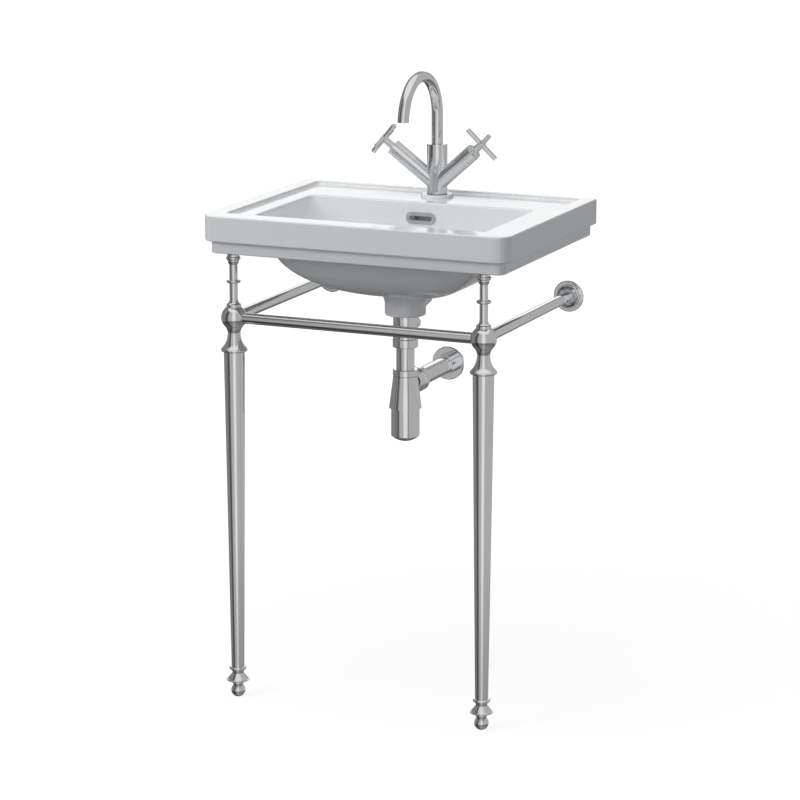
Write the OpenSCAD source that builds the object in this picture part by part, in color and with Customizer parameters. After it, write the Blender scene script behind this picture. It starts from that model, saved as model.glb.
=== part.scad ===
// Console sink: a ceramic basin on two turned front legs and two wall rails,
// with a cross-head mixer tap, a push-plug waste and a bottle trap.
// Millimetres. Heights named _h are measured up from the floor, and distances
// named _y forward from the wall. The finished part has its origin on the wall
// face, midway between the two wall bolts, with +Z up and the front towards -Y.

/* [Basin] */
// Width of the basin
basin_w = 560; // [540:5:640]
// Depth of the basin from the wall
basin_d = 430; // [425:5:470]
// Height of the rim above the floor
rim_h = 855; // [840:5:900]
// Height of the upper band of the rim
upper_band_h = 45; // [40:1:50]
// Height of the lower band of the rim
lower_band_h = 21; // [18:1:26]
// Step in from the upper band to the lower band
band_step = 11; // [8:0.5:12]
// Radius of the front corners
corner_r = 26; // [20:1:32]
// Rounding of the rim's top edge
rim_round = 2.5; // [2:0.5:5]
// Depth of the recessed deck below the rim
deck_recess = 5.5; // [4:0.5:7]
// Width of the raised lip at each side
side_lip = 28; // [22:1:32]
// Width of the raised lip at the front
front_lip = 40; // [34:1:44]
// Width of the raised lip at the back
back_lip = 12; // [8:1:14]
// Thickness of the deck
deck_t = 14; // [12:1:15]
// Thickness of the walls behind the bands
rim_wall = 14; // [12:1:16]
// Thickness of the back wall
back_wall = 16; // [14:1:20]
// Width left from the basin's side to the bowl's opening
bowl_side_margin = 70; // [66:1:80]
// Distance from the basin's front to the bowl's opening
bowl_front_margin = 62; // [56:1:70]
// Distance from the wall to the bowl's opening
bowl_back_margin = 126; // [122:1:130]
// Depth of the bowl's floor below the rim
bowl_drop = 143; // [138:1:150]
// Thickness of the bowl's wall
bowl_wall = 13; // [11:1:14]
// Distance of the waste's axis from the wall
waste_y = 197; // [190:1:204]
// Diameter of the tap boss on the deck
tap_boss_d = 58; // [54:1:62]
// Distance of the tap's axis from the wall
tap_y = 55; // [54:1:57]
// Spacing of the two wall bolts
bolt_spacing = 280; // [240:10:300]
// Diameter of the wall bolt holes
bolt_hole_d = 18; // [14:1:20]
// Depth of the wall bolts below the rim
bolt_drop = 43; // [40:1:46]

/* [Stand] */
// Distance from the basin's side to a leg's axis
leg_side_inset = 50; // [46:1:60]
// Distance from the basin's front to a leg's axis
leg_front_inset = 25.5; // [25:0.5:28]
// Drop of the rails below the rim
rail_drop = 177; // [172:1:195]
// Diameter of the rails
rail_d = 19; // [18:0.5:20]
// Wall of the rails
rail_wall = 3; // [2:0.5:3.5]
// Diameter of the ball knots
knot_d = 44; // [42:1:46]
// Diameter of the pillars' rods
pillar_d = 14.2; // [13:0.2:15]
// Diameter of the legs at the top
leg_top_d = 36.4; // [34:0.2:38]
// Diameter of the legs at the ankle
leg_end_d = 22.2; // [21:0.2:24]
// Diameter of the collar at the top of the legs
leg_collar_d = 46; // [44:1:48]
// Wall of the legs
leg_wall = 2; // [1.5:0.25:2.5]
// Diameter of the ankle's disc
ankle_disc_d = 40.4; // [38:0.2:42]
// Diameter of the ball feet
foot_d = 24.5; // [23:0.5:26]
// Diameter of the wall flanges
flange_d = 56; // [52:1:58]

/* [Tap] */
// Diameter of the tap's column
column_d = 36; // [35:0.5:37]
// Height of the column
column_h = 88; // [84:1:96]
// Diameter of the valve arms
arm_d = 28; // [27:0.5:29]
// Length of the valve arms from the column's axis
arm_len = 102.5; // [100:0.5:110]
// Angle of the valve arms from upright
arm_tilt = 48.5; // [44:0.5:50]
// Angle by which the valve arms lean forward
arm_lean = 15.5; // [8:0.5:16]
// Height of the valve arms' meeting point above the tap boss
arm_root_rise = 16.5; // [15:0.5:18]
// Diameter of the spout's tube
spout_d = 20; // [19:0.5:20]
// Reach of the spout's bend, from its column to its bend's centre
spout_bend_r = 76; // [66:1:84]
// Height of the spout's straight part above the column
spout_rise = 51; // [46:1:70]
// Angle that the spout's bend turns through
spout_sweep = 176; // [170:1:180]
// Distance across the cross handles
handle_w = 71; // [60:1:73]
// Diameter of the cross handles' arms
handle_bar_d = 8.8; // [8:0.2:9.4]

/* [Waste and trap] */
// Diameter of the waste's tail
tail_d = 43; // [42.5:0.5:43.5]
// Diameter of the waste's flange
waste_flange_d = 64; // [62:1:66]
// Diameter of the trap's pipes
pipe_d = 32; // [31:0.5:32]
// Drop of the trap's outlet below the waste's end
outlet_drop = 74; // [70:1:86]
// Diameter of the trap's cup
cup_d = 50; // [48:1:52]
// Length of the trap's cup below its head
cup_len = 50; // [44:1:60]
// Travel of the push plug
plug_lift = 8; // [6:0.5:9]

/* [Hidden] */
$fn = 48;
// How far a cut runs past the solid it cuts
over = 1;
// Radial clearance of parts that turn or slide in each other
running = 0.06;
// Clearance of parts that are screwed or pushed together
seat = 0.1;
// Gap between parts that move past each other
apart = 0.3;

// Colours, as the photo shows them
ceramic_white = [0.93, 0.94, 0.95];
chrome_grey = [0.78, 0.8, 0.82];
brass_yellow = [0.78, 0.66, 0.38];
steel_grey = [0.6, 0.61, 0.62];
rubber_black = [0.12, 0.12, 0.13];

// Heights of the basin
under_h = rim_h - upper_band_h - lower_band_h;
band_h = rim_h - upper_band_h;
deck_h = rim_h - deck_recess;
deck_under_h = deck_h - deck_t;
bolt_h = rim_h - bolt_drop;
bowl_floor_h = rim_h - bowl_drop;
floor_t = 11;
bowl_end_h = bowl_floor_h - floor_t;
// Small edges of the basin
band_round = 2.5;
band_draft = 0.6;
lip_edge_round = 1;
lip_foot_round = 3.5;
lip_corner_r = 10;
back_corner_r = 2;
pocket_corner_r = 12;
// Points on a rounded corner, rings in a rounded edge, points and rings of the bowl
corner_steps = 6;
edge_steps = 4;
bowl_points = 56;
bowl_rings = 16;
// The bowl's outline is squarish at the opening and round at the waste
opening_power = 24;
knee_power = 8;
end_power = 2.2;
// How full the bowl's side curve is
bowl_curve = 1.65;
bowl_slope = 39;
bowl_round = 4;
bowl_end_a = 46;
bowl_end_b = 38;
opening_a = basin_w / 2 - bowl_side_margin;
opening_b = (basin_d - bowl_front_margin - bowl_back_margin) / 2;
opening_y = bowl_back_margin + opening_b;
knee_a = opening_a - bowl_slope;
knee_front_slope = 9;
knee_back_slope = 4;
knee_b = opening_b - (knee_front_slope + knee_back_slope) / 2;
knee_y = opening_y + (knee_back_slope - knee_front_slope) / 2;
// Waste boss, its hollow for the back nut, and the ring that the overflow drains into
boss_d = 72;
boss_len = 38;
boss_wall = 5;
boss_round = 3;
boss_flare = 9;
boss_flare_h = 20;
seat_web = 22;
boss_end_h = bowl_end_h - boss_len;
flare_start_h = bowl_end_h + over - boss_flare_h;
seat_h = bowl_floor_h - seat_web;
waste_hole_d = tail_d + 2;
drain_ring_d = 54;
drain_ring_h = 9;
drain_ring_low = 6;
// Overflow duct behind the bowl
duct_w = 60;
duct_depth = 15;
duct_channel_w = 36;
duct_channel_depth = 9;
duct_overlap = 6;
duct_foot = 26;
duct_foot_w = 58;
duct_foot_back = 24;
duct_heel = 20;
duct_heel_back = 50;
duct_foot_wall = 9;
duct_round = 3;
slot_w = 48;
slot_t = 11;
overflow_drop = 33.5;
overflow_h = rim_h - overflow_drop;
trim_w = 56;
trim_t = 21;
trim_plate = 1.4;
trim_collar_w = 49;
trim_collar_t = 14;
trim_collar = 2.6;
trim_sleeve = 6;
trim_slot_w = 43;
trim_slot_t = 8;
// Tap hole and boss
tap_hole_d = 31.6;
tap_boss_rise = 5;
tap_boss_round = 2;
tap_base_h = deck_h + tap_boss_rise;
gasket_t = 1;
leg_pad_d = 22;

// Stand
rail_h = rim_h - rail_drop;
leg_x = basin_w / 2 - leg_side_inset;
leg_y = basin_d - leg_front_inset;
pad_d = 20;
pad_t = 1.5;
pillar_top_h = under_h - pad_t;
drum_d = 20.6;
drum_h = 3.5;
pillar_collar_d = 24.9;
pillar_collar_h = 6;
pillar_cup_d = 20;
pillar_cup_drop = 10.2;
pillar_bead_d = 24.6;
pillar_bead_h = 5;
pillar_bead_share = 0.49;
pillar_foot_d = 25;
pillar_foot_h = 5;
pillar_flare_h = 9;
pillar_spigot = 7.8;
ledge_d = 25.8;
ledge_h = 2.5;
knot_flat = 4;
knot_top_h = rail_h + knot_d / 2 - knot_flat;
knot_neck_share = 0.635;
knot_neck_h = rail_h - knot_neck_share * knot_d;
knot_neck_d = 22;
knot_shoulder = 15.5;
seam_turn = 30;
socket_start = 12.2;
grub_d = 4;
grub_len = 3;
grub_place = 17;
stud_d = 10;
stud_grip = 17;
leg_collar_h = 5;
leg_collar_step = 2;
leg_cove_h = 26;
leg_top_h = knot_neck_h - leg_cove_h - leg_collar_h;
leg_end_h = 54;
leg_plug_len = 20;
stud_below_collar = 12;
leg_stud_h = leg_top_h - stud_below_collar;
ankle_socket_d = leg_end_d - 2 * leg_wall;
ankle_spigot = 15;
ankle_collar_d = 29.6;
ankle_neck_d = 19.2;
ankle_neck_h = 43;
ankle_disc_h = 31;
ankle_rim = 2.4;
ankle_base_h = 26.5;
ankle_end_h = 24;
foot_stem_len = 24;
foot_neck_h = 4;
foot_neck_d = 16.6;
foot_stop_d = 20;
foot_step = 1.4;
foot_sole_d = 10;
flange_step = 3.5;
flange_edge = 1.25;
flange_bead_d = 43;
flange_dish_d = 39;
flange_dish_floor = 5;
flange_neck_d = 26;
flange_neck_end_d = 20;
flange_neck_len = 24.5;
bracket_d = 33;
bracket_t = 3.4;
bracket_hole_d = 4.6;
bracket_hole_spacing = 23;
spigot_len = 46;
rail_bore_d = rail_d - 2 * rail_wall;
spigot_d = rail_bore_d - 2 * seat;

// Tap
column_base_h = tap_base_h + gasket_t;
column_top_h = column_base_h + column_h;
arm_root_h = tap_base_h + arm_root_rise;
valve_flange_t = 3;
valve_d = 20;
valve_chamber = 43.5;
chamber_start = arm_len - valve_flange_t - valve_chamber;
valve_waist_d = 16.4;
valve_waist_len = 13.8;
valve_reach = 44.3;
valve_waist_start = arm_len - valve_reach;
valve_waist_end = valve_waist_start + valve_waist_len;
valve_nose_d = 8.6;
valve_nose = 2.1;
valve_nose_start = valve_waist_start - valve_nose;
valve_inlet_len = 12;
valve_window_d = 5.2;
supply_d = 6.4;
supply_x = 7.8;
supply_start = 8;
supply_rise = 22;
inlet_d = 9.2;
inlet_depth = 12;
mix_offset = 6.8;
mix_start = 12;
mix_d = 4.8;
mix_chamber_d = 14;
mix_chamber_depth = 59;
spout_bore_depth = 28;
fixing_d = 6;
fixing_y = 9.5;
fixing_grip = 12;
rubber_t = 2;
steel_t = 3;
stud_below = 27.5;
stud_end_h = deck_under_h - rubber_t - steel_t - stud_below;
horseshoe_d = 48;
horseshoe_slot = 26.8;
horseshoe_slot_y = 4.8;
nut_h = 6;
nut_d = 13;
bend_h = column_top_h + spout_rise;
spout_start_h = column_top_h - spout_bore_depth + over;
spout_wall = 1.8;
spigot_bore_d = 13;
groove_d = 17.2;
groove_h = 5;
stop_drop = 21;
stop_d = 3.9;
stop_reach = 9;
swing = 60;
stop_angle = 135;
stop_play = 13.4;
seal_groove_d = 16.8;
seal_groove_h = 2;
seal_drops = [6, 12];
aerator_len = 9;
aerator_set = 0.5;
aerator_bore = 11;
aerator_bar = 1.6;
spindle_d = 8;
spindle_grip = 27.5;
spindle_past = 19.5;
spindle_start = arm_len - spindle_grip;
spindle_end = arm_len + spindle_past;
hub_d = 12.4;
hub_cap = 5.5;
handle_lift = 0.5;
handle_rise = 21.5;
handle_place = arm_len + handle_rise;
handle_grub_rise = 6.5;
handle_grub_place = arm_len + handle_grub_rise;
bar_chamfer = 0.8;

// Waste with its push plug
flange_t = 3;
flange_seal_t = 2;
waste_top_h = bowl_floor_h + flange_seal_t + flange_t;
tail_len = 106;
tail_end_h = waste_top_h - tail_len;
tail_step = 10.5;
tail_step_h = tail_end_h + tail_step;
tail_bore_d = 36;
tail_thread_d = 39.6;
mouth_h = 6;
mouth_cone_h = 5;
window_d = 6.4;
cone_seal_t = 4;
back_nut_t = 10;
back_nut_d = 59;
back_nut_notch = 6;
port_drop = 76;
port_h = waste_top_h - port_drop;
port_d = 16.4;
port_bore_d = 11;
port_len = 38.5;
port_seal_t = 1.8;
port_nut_d = 20;
port_nut_len = 13;
port_nut_end = 46;
plug_d = 38.4;
plug_mouth_d = 40;
plug_cap_t = 4.8;
plug_seal_d = 2.8;
plug_seal_bore = 33.2;
plug_seal_gap = 0.6;
plug_keeper_d = 34.4;
plug_keeper_t = 1.9;
plug_stem_d = 8;
plug_stem_len = 37;
// The plug is drawn as it stands when the waste is open
plug_top_h = waste_top_h + plug_lift;
plug_seal_h = plug_top_h - plug_cap_t - plug_seal_d / 2 - plug_seal_gap;
plug_stem_end_h = plug_top_h - plug_stem_len;
// Latch of the push plug, screwed into the hub of the bridge across the waste
latch_d = 15;
latch_shank_d = 12;
latch_drop = 13;
latch_head = 14;
latch_floor = 2;
latch_top_h = waste_top_h - latch_drop;
latch_seat_h = latch_top_h - latch_head;
latch_bore_end_h = waste_top_h - plug_stem_len - over;
bridge_hub_d = 18;
bridge_hub_len = 11;
bridge_bar_t = 3;
bridge_bar_h = 7;
bridge_top_h = latch_seat_h - seat;

// Trap
outlet_h = tail_end_h - outlet_drop;
nut_edge = 1;
nut_lip = 3;
washer_t = 2.4;
pipe_wall = 1.5;
pipe_grip = 7;
tail_nut_d = 44.6;
tail_nut_len = 15.5;
tail_nut_h = tail_end_h - nut_lip - washer_t - seat;
ring_nut_d = 44;
ring_nut_len = 12;
ring_nut_rise = 17;
ring_nut_h = outlet_h + ring_nut_rise;
head_top_d = 42.6;
head_end_d = 57.2;
head_drop = 40;
head_end_h = outlet_h - head_drop;
head_wall = 3;
branch_start = ring_nut_d / 2 + 2 * apart;
outlet_nut_d = 45;
outlet_nut_len = 15;
outlet_nut_place = 44.5;
outlet_pipe_start = 38;
outlet_past_wall = 35;
outlet_end_d = 31;
dip_drop = 37;
dip_end_h = head_end_h - dip_drop;
cup_wall = 2;
cup_thread_d = cup_d - 2;
cup_end_h = head_end_h - cup_len;
cup_grip = 7;
cup_dome = 10;
sleeve_d = 38;
sleeve_len = 28;
outlet_disc_d = 61;
outlet_disc_t = 3;

// Rounded rectangle as a ring of points: front corners rf, back corners rb
function ring_of(x, y0, y1, rf, rb, z) = concat(
    [for (i = [0:corner_steps]) corner_point(x - rf, y0 + rf, rf, -90 + 90 * i / corner_steps, z)],
    [for (i = [0:corner_steps]) corner_point(x - rb, y1 - rb, rb, 90 * i / corner_steps, z)],
    [for (i = [0:corner_steps]) corner_point(-x + rb, y1 - rb, rb, 90 + 90 * i / corner_steps, z)],
    [for (i = [0:corner_steps]) corner_point(-x + rf, y0 + rf, rf, 180 + 90 * i / corner_steps, z)]);
function corner_point(x, y, r, angle, z) = [x + r * cos(angle), y + r * sin(angle), z];

// The basin's own outline, drawn in by an inset, flush with the wall
function basin_ring(inset, z) =
    ring_of(basin_w / 2 - inset, -basin_d + inset, 0, corner_r - inset, back_corner_r, z);

// A squarish oval as a ring of points, half width a, half depth b, y forward from the wall
function bowl_ring(a, b, y, power, z) = [for (i = [0:bowl_points - 1])
    let (t = 360 * i / bowl_points)
    [a * sign(cos(t)) * pow(abs(cos(t)), 2 / power),
        -y + b * sign(sin(t)) * pow(abs(sin(t)), 2 / power), z]];

// A closed solid through rings of points, lowest ring first
module skin(rings) {
    n = len(rings[0]);
    m = len(rings);
    low = [for (j = [0:n - 1]) j];
    high = [for (j = [0:n - 1]) m * n - 1 - j];
    sides = [for (i = [0:m - 2], j = [0:n - 1])
        let (a = i * n + j, b = i * n + (j + 1) % n, c = b + n, d = a + n)
        each [[a, d, c], [a, c, b]]];
    polyhedron(points = [for (ring = rings) each ring], faces = concat([low, high], sides));
}

module from_floor() {
    translate([0, 0, -bolt_h]) children();
}

module at(x, y, z) {
    translate([x, -y, z]) children();
}

module both_sides() {
    for (side = [-1, 1]) translate([side * leg_x, 0, 0]) children();
}

// Ring with a rounded rim, centred on its own height
module bead(d, h) {
    rotate_extrude() {
        translate([d / 2 - h / 2, 0]) circle(d = h);
        translate([0, -h / 2]) square([d / 2 - h / 2, h]);
    }
}

// Flare that leaves its narrow end upright and widens hollow over its height
module cove(d0, d1, h) {
    step = (d1 - d0) / 2;
    arc = (step * step + h * h) / (2 * step);
    rotate_extrude() difference() {
        square([d1 / 2, h]);
        translate([d0 / 2 + arc, 0]) circle(r = arc);
    }
}

module tube(d, bore, h) {
    difference() {
        cylinder(d = d, h = h);
        translate([0, 0, -over]) cylinder(d = bore, h = h + 2 * over);
    }
}

// Oblong bar along Y, its width across X
module oblong(w, t, len) {
    rotate([90, 0, 0]) {
        translate([-(w - t) / 2, -t / 2, 0]) cube([w - t, t, len]);
        for (side = [-1, 1]) translate([side * (w - t) / 2, 0, 0]) cylinder(d = t, h = len);
    }
}

// Basin
function edge_angle(i) = 90 * i / edge_steps;

module basin_slab() {
    low = [for (i = [0:edge_steps]) basin_ring(band_step + band_round * (1 - sin(edge_angle(i))),
        under_h + band_round * (1 - cos(edge_angle(i))))];
    mid = [basin_ring(band_step, band_h)];
    lap = [for (i = [0:edge_steps]) basin_ring(band_round * (1 - sin(edge_angle(i))),
        band_h + band_draft + band_round * (1 - cos(edge_angle(i))))];
    top = [for (i = [0:edge_steps]) basin_ring(rim_round * (1 - cos(edge_angle(i))),
        rim_h - rim_round * (1 - sin(edge_angle(i))))];
    skin(concat(low, mid, lap, top));
}

function lip_ring(grow, z) = ring_of(basin_w / 2 - side_lip + grow, -basin_d + front_lip - grow,
    -back_lip + grow, lip_corner_r + grow, lip_corner_r + grow, z);

module deck_cut() {
    foot = [for (i = [0:edge_steps]) lip_ring(lip_foot_round * (sin(edge_angle(i)) - 1),
        deck_h + lip_foot_round * (1 - cos(edge_angle(i))))];
    edge = [for (i = [0:edge_steps]) lip_ring(lip_edge_round * (1 - cos(edge_angle(i))),
        rim_h - lip_edge_round * (1 - sin(edge_angle(i))))];
    skin(concat(foot, edge, [lip_ring(lip_edge_round, rim_h + over)]));
}

module under_pocket() {
    inset = band_step + rim_wall;
    skin([for (z = [under_h - over, deck_under_h]) ring_of(basin_w / 2 - inset, -basin_d + inset,
        -back_wall, pocket_corner_r, pocket_corner_r, z)]);
}

// Share of the way from the bowl's end to its knee, and of its height below the knee
function bowl_out(i) = pow(sin(90 * i / bowl_rings), 2 / bowl_curve);
function bowl_down(i) = pow(cos(90 * i / bowl_rings), 2 / bowl_curve);
function blend(from, to, share) = from + (to - from) * share;
function bowl_y(i) = blend(waste_y, knee_y, bowl_out(i));
function bowl_a(i, grow) = blend(bowl_end_a, knee_a + grow, bowl_out(i));
function bowl_b(i, grow) = blend(bowl_end_b, knee_b + grow, bowl_out(i));
function bowl_z(i, end_h) = under_h - (under_h - end_h) * bowl_down(i);

function bowl_rings_of(grow, end_h) = [for (i = [0:bowl_rings])
    bowl_ring(bowl_a(i, grow), bowl_b(i, grow), bowl_y(i),
        blend(end_power, knee_power, bowl_out(i)), bowl_z(i, end_h))];

module bowl_outside() {
    skin(concat(bowl_rings_of(bowl_wall, bowl_end_h),
        [bowl_ring(opening_a + bowl_wall, opening_b + bowl_wall, opening_y, opening_power,
            deck_h - deck_t / 2)]));
}

module bowl_inside() {
    lip = [for (i = [0:edge_steps]) bowl_ring(opening_a + bowl_round * (1 - cos(edge_angle(i))),
        opening_b + bowl_round * (1 - cos(edge_angle(i))), opening_y, opening_power,
        deck_h - bowl_round * (1 - sin(edge_angle(i))))];
    skin(concat(bowl_rings_of(0, bowl_floor_h), lip,
        [bowl_ring(opening_a + bowl_round, opening_b + bowl_round, opening_y, opening_power,
            deck_h + over)]));
}

// Outside of the bowl's back at ring i, as a distance from the wall
function bowl_back(i) = bowl_y(i) - bowl_b(i, bowl_wall);

function duct_ring(w, y_front, y_back, z) = ring_of(w / 2, -y_front, -y_back, duct_round, duct_round, z);

module duct_outside() {
    skin(concat([duct_ring(duct_foot_w, waste_y, waste_y - duct_foot_back, bowl_end_h - duct_foot),
        duct_ring(duct_w, waste_y, waste_y - duct_heel_back, bowl_end_h - duct_heel)],
        [for (i = [1:bowl_rings]) duct_ring(duct_w, bowl_back(i) + duct_overlap,
            bowl_back(i) - duct_depth, bowl_z(i, bowl_end_h))],
        [duct_ring(duct_w, bowl_back(bowl_rings) + duct_overlap,
            bowl_back(bowl_rings) - duct_depth, deck_h - deck_t / 2)]));
}

module duct_inside() {
    skin(concat([duct_ring(duct_channel_w, waste_y, bowl_back(1) - duct_channel_depth + duct_foot_wall,
        seat_h + drain_ring_low + over)],
        [for (i = [1:bowl_rings]) duct_ring(duct_channel_w, bowl_back(i) + duct_overlap / 2,
            bowl_back(i) - duct_channel_depth, bowl_z(i, bowl_end_h))],
        [duct_ring(duct_channel_w, bowl_back(bowl_rings) + duct_overlap / 2,
            bowl_back(bowl_rings) - duct_channel_depth, overflow_h + slot_t / 2)]));
}

// The bowl's back wall leans; the trim and its slot lean with it
overflow_share = (deck_h - bowl_round - overflow_h) / (deck_h - bowl_round - under_h);
overflow_y = bowl_back_margin + knee_back_slope * overflow_share;
overflow_lean = atan(knee_back_slope / (deck_h - bowl_round - under_h));
slot_depth = overflow_y - bowl_back(bowl_rings) - duct_overlap / 2 + over;

module at_overflow() {
    at(0, overflow_y, overflow_h) rotate([-overflow_lean, 0, 0]) children();
}

module overflow_slot() {
    at_overflow() translate([0, slot_depth, 0]) oblong(slot_w, slot_t, slot_depth + over);
}

module basin() color(ceramic_white) from_floor() difference() {
    union() {
        difference() {
            basin_slab();
            deck_cut();
            under_pocket();
        }
        bowl_outside();
        duct_outside();
        both_sides() at(0, leg_y, under_h) cylinder(d = leg_pad_d, h = deck_under_h - under_h + over);
        at(0, waste_y, boss_end_h + boss_round) bead(boss_d, 2 * boss_round);
        at(0, waste_y, boss_end_h + boss_round)
            cylinder(d = boss_d, h = flare_start_h - boss_end_h - boss_round);
        at(0, waste_y, flare_start_h) cove(boss_d, boss_d + 2 * boss_flare, boss_flare_h);
        at(0, tap_y, deck_h - over) cylinder(d = tap_boss_d, h = tap_boss_rise + over - tap_boss_round);
        at(0, tap_y, tap_base_h - tap_boss_round)
            cylinder(d1 = tap_boss_d, d2 = tap_boss_d - 2 * tap_boss_round, h = tap_boss_round);
    }
    bowl_inside();
    duct_inside();
    overflow_slot();
    at(0, tap_y, deck_under_h - over) cylinder(d = tap_hole_d, h = tap_base_h - deck_under_h + 2 * over);
    at(0, waste_y, boss_end_h - over) cylinder(d = boss_d - 2 * boss_wall, h = seat_h - boss_end_h + over);
    at(0, waste_y, seat_h - over) cylinder(d = waste_hole_d, h = seat_web + 2 * over);
    at(0, waste_y, seat_h + drain_ring_low) cylinder(d = drain_ring_d, h = drain_ring_h);
    for (side = [-1, 1]) at(side * bolt_spacing / 2, -over, bolt_h)
        rotate([90, 0, 0]) cylinder(d = bolt_hole_d, h = back_wall + 2 * over);
}

module overflow_trim() color(chrome_grey) from_floor() at_overflow() difference() {
    union() {
        translate([0, -apart, 0]) oblong(trim_w, trim_t, trim_plate);
        translate([0, -apart, 0]) oblong(trim_collar_w, trim_collar_t, trim_collar);
        translate([0, trim_sleeve, 0])
            oblong(slot_w - 2 * seat, slot_t - 2 * seat, trim_sleeve + trim_plate / 2);
    }
    translate([0, trim_sleeve + over, 0])
        oblong(trim_slot_w, trim_slot_t, trim_sleeve + apart + trim_collar + 2 * over);
}

// Waste
module at_waste(z) {
    at(0, waste_y, z) children();
}

module flange_seal() color(rubber_black) from_floor() at_waste(bowl_floor_h)
    tube(waste_flange_d - 2 * over, waste_hole_d + over, flange_seal_t);

module cone_seal() color(rubber_black) from_floor() at_waste(seat_h - cone_seal_t) difference() {
    cylinder(d1 = back_nut_d, d2 = back_nut_d - cone_seal_t, h = cone_seal_t);
    translate([0, 0, -over]) cylinder(d = tail_d + 2 * seat, h = cone_seal_t + 2 * over);
}

module back_nut() color(brass_yellow) from_floor() at_waste(seat_h - cone_seal_t - back_nut_t) difference() {
    cylinder(d = back_nut_d, h = back_nut_t);
    translate([0, 0, -over]) cylinder(d = tail_d + 2 * seat, h = back_nut_t + 2 * over);
    for (turn = [0:90:270]) rotate(turn) translate([back_nut_d / 2, 0, -over])
        cylinder(d = back_nut_notch, h = back_nut_t / 2 + over);
}

// The side port, its axis along +Y from the waste's axis
module along_port() {
    at_waste(port_h) rotate([-90, 0, 0]) children();
}

module waste_body() color(chrome_grey) from_floor() {
    difference() {
        union() {
            at_waste(bowl_floor_h + flange_seal_t) cylinder(d = waste_flange_d, h = flange_t / 2);
            at_waste(bowl_floor_h + flange_seal_t + flange_t / 2)
                cylinder(d1 = waste_flange_d, d2 = waste_flange_d - flange_t, h = flange_t / 2);
            at_waste(tail_step_h) cylinder(d = tail_d, h = waste_top_h - flange_t - tail_step_h);
            at_waste(tail_end_h) cylinder(d = tail_thread_d, h = tail_step_h - tail_end_h + over);
            along_port() cylinder(d = port_d, h = port_len);
        }
        at_waste(tail_step_h) cylinder(d = tail_bore_d, h = waste_top_h - tail_step_h);
        at_waste(waste_top_h - mouth_h - mouth_cone_h)
            cylinder(d1 = tail_bore_d, d2 = plug_mouth_d, h = mouth_cone_h);
        at_waste(waste_top_h - mouth_h) cylinder(d = plug_mouth_d, h = mouth_h + over);
        at_waste(tail_end_h - over) cylinder(d = pipe_d + 6 * seat, h = tail_step_h - tail_end_h + 2 * over);
        for (turn = [45:90:315]) at_waste(seat_h + drain_ring_low + drain_ring_h / 2) rotate(turn)
            rotate([0, 90, 0]) cylinder(d = window_d, h = tail_d);
        along_port() cylinder(d = port_bore_d, h = port_len + over);
    }
    waste_bridge();
}

// Cross bars over the waste's bore, with the hub that the plug's latch screws into
module waste_bridge() {
    at_waste(bridge_top_h) mirror([0, 0, 1]) difference() {
        union() {
            cylinder(d = bridge_hub_d, h = bridge_hub_len);
            for (turn = [0, 90]) rotate(turn) translate([-tail_bore_d / 2 - over, -bridge_bar_t / 2, 0])
                cube([tail_bore_d + 2 * over, bridge_bar_t, bridge_bar_h]);
        }
        translate([0, 0, -over]) cylinder(d = latch_shank_d + 2 * seat, h = bridge_hub_len + 2 * over);
    }
}

module waste_plug() color(chrome_grey) from_floor() {
    at_waste(plug_top_h - plug_cap_t) cylinder(d = plug_d, h = plug_cap_t);
    at_waste(plug_seal_h - plug_seal_d / 2 - plug_keeper_t)
        cylinder(d = plug_seal_bore - 2 * seat, h = plug_seal_d + plug_keeper_t + over);
    at_waste(plug_seal_h - plug_seal_d / 2 - seat - plug_keeper_t)
        cylinder(d = plug_keeper_d, h = plug_keeper_t);
    at_waste(plug_stem_end_h) cylinder(d = plug_stem_d, h = plug_seal_h - plug_stem_end_h);
}

module plug_seal() color(rubber_black) from_floor() at_waste(plug_seal_h) rotate_extrude()
    translate([(plug_seal_bore + plug_seal_d) / 2, 0]) circle(d = plug_seal_d);

module plug_latch() color(brass_yellow) from_floor() difference() {
    union() {
        at_waste(latch_seat_h) cylinder(d = latch_d, h = latch_head);
        at_waste(latch_bore_end_h - latch_floor)
            cylinder(d = latch_shank_d, h = latch_seat_h - latch_bore_end_h + latch_floor + over);
    }
    at_waste(latch_bore_end_h) cylinder(d = plug_stem_d + 2 * running, h = plug_stem_len);
}

module port_seal() color(rubber_black) from_floor() along_port()
    translate([0, 0, port_len + seat / 2]) cylinder(d = port_d, h = port_seal_t);

// Closed round nut over the port
module port_nut() color(chrome_grey) from_floor() along_port() difference() {
    translate([0, 0, port_nut_end - port_nut_len]) cylinder(d = port_nut_d, h = port_nut_len);
    cylinder(d = port_d + 2 * seat, h = port_len + port_seal_t + seat);
}

// Tap
module at_tap(z) {
    at(0, tap_y, z) children();
}

// Along a valve arm's axis; side -1 is the left arm, 1 the right
module along_arm(side) {
    at_tap(arm_root_h) rotate([arm_lean, 0, 0]) rotate([0, side * arm_tilt, 0]) children();
}

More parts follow.
